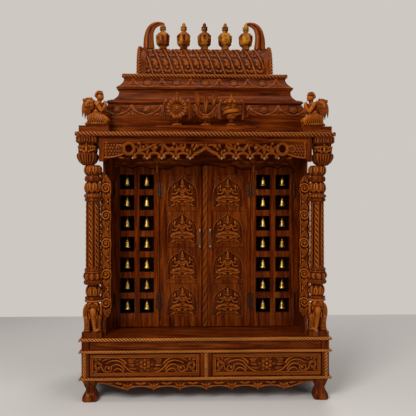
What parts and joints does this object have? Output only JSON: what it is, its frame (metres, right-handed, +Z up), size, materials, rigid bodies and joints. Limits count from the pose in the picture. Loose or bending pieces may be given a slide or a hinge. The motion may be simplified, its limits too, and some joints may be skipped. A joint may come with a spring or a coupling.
{
  "type": "carved wooden pooja mandir",
  "caption": "Home shrine cabinet with carved double doors between bell lattices, elephant pillars, drawers, a pull-out tray and a stepped barrel roof.",
  "frame": {"origin": "on the floor, in the middle of the footprint", "axes": "+X to the right seen from the front, +Y to the back, +Z up"},
  "size_m": [1.248, 0.58, 1.941],
  "materials": {
    "polished_teak": "stained and polished teak, satin lacquer",
    "plain_teak": "plain sawn teak boards with a thin stain",
    "carved_teak": "hand-carved teak, dark stain left in the hollows, polished high points",
    "antique_brass": "dark antique brass, rubbed edges",
    "bell_brass": "cast and turned brass, lightly tarnished"
  },
  "bodies": {
    "root": {"aprons": "polished_teak", "barrel_roof": "carved_teak", "base_back": "plain_teak", "base_deck": "polished_teak", "base_floor": "polished_teak", "base_ropes": "carved_teak", "base_sides": "polished_teak", "base_stiles": "polished_teak", "bells": "bell_brass", "cabinet_back": "plain_teak", "cabinet_sides": "polished_teak", "canopy_board": "polished_teak", "canopy_plinths": "polished_teak", "canopy_rope": "carved_teak", "capitals": "carved_teak", "corner_blocks": "polished_teak", "drawer_divider": "plain_teak", "dust_board": "plain_teak", "elephants": "carved_teak", "emblems": "carved_teak", "fascias": "polished_teak", "feet": "polished_teak", "finials": "carved_teak", "fixed_hinges": "antique_brass", "frieze": "carved_teak", "gable_ends": "polished_teak", "header": "polished_teak", "horns": "polished_teak", "jambs": "polished_teak", "lattice_leaves": "polished_teak", "lower_cornice": "carved_teak", "mid_rail": "polished_teak", "pillars": "polished_teak", "plinths": "polished_teak", "porch_sides": "polished_teak", "roof_moulding": "polished_teak", "roof_plinth": "polished_teak", "roof_rope": "carved_teak", "upper_cornice": "carved_teak", "winged_figures": "carved_teak"},
    "door_left": {"door_frame_left": "polished_teak", "door_panels_left": "polished_teak", "door_fittings_left": "antique_brass"},
    "door_right": {"door_frame_right": "polished_teak", "door_panels_right": "polished_teak", "door_fittings_right": "antique_brass"},
    "drawer_left": {"drawer_front_left": "polished_teak", "drawer_box_left": "plain_teak"},
    "drawer_right": {"drawer_front_right": "polished_teak", "drawer_box_right": "plain_teak"},
    "tray": {"tray_lip": "polished_teak", "tray_board": "plain_teak"},
    "button_left": {"turn_button_left": "polished_teak"},
    "button_right": {"turn_button_right": "polished_teak"}
  },
  "joints": [
    {"name": "door_left_hinge", "type": "hinge", "parent": "root", "child": "door_left", "pos_m": [-0.236, -0.068, 0.7], "axis": [0, 0, -1], "range_deg": [0, 95]},
    {"name": "door_right_hinge", "type": "hinge", "parent": "root", "child": "door_right", "pos_m": [0.236, -0.068, 0.7], "axis": [0, 0, 1], "range_deg": [0, 95]},
    {"name": "drawer_left_slide", "type": "slide", "parent": "root", "child": "drawer_left", "axis": [0, -1, 0], "range_m": [0, 0.32]},
    {"name": "drawer_right_slide", "type": "slide", "parent": "root", "child": "drawer_right", "axis": [0, -1, 0], "range_m": [0, 0.32]},
    {"name": "tray_slide", "type": "slide", "parent": "root", "child": "tray", "axis": [0, -1, 0], "range_m": [0, 0.24]},
    {"name": "button_left_pivot", "type": "hinge", "parent": "root", "child": "button_left", "pos_m": [-0.25, -0.064, 1.147], "axis": [0, 1, 0], "range_deg": [0, 90]},
    {"name": "button_right_pivot", "type": "hinge", "parent": "root", "child": "button_right", "pos_m": [0.25, -0.064, 1.147], "axis": [0, -1, 0], "range_deg": [0, 90]}
  ]
}
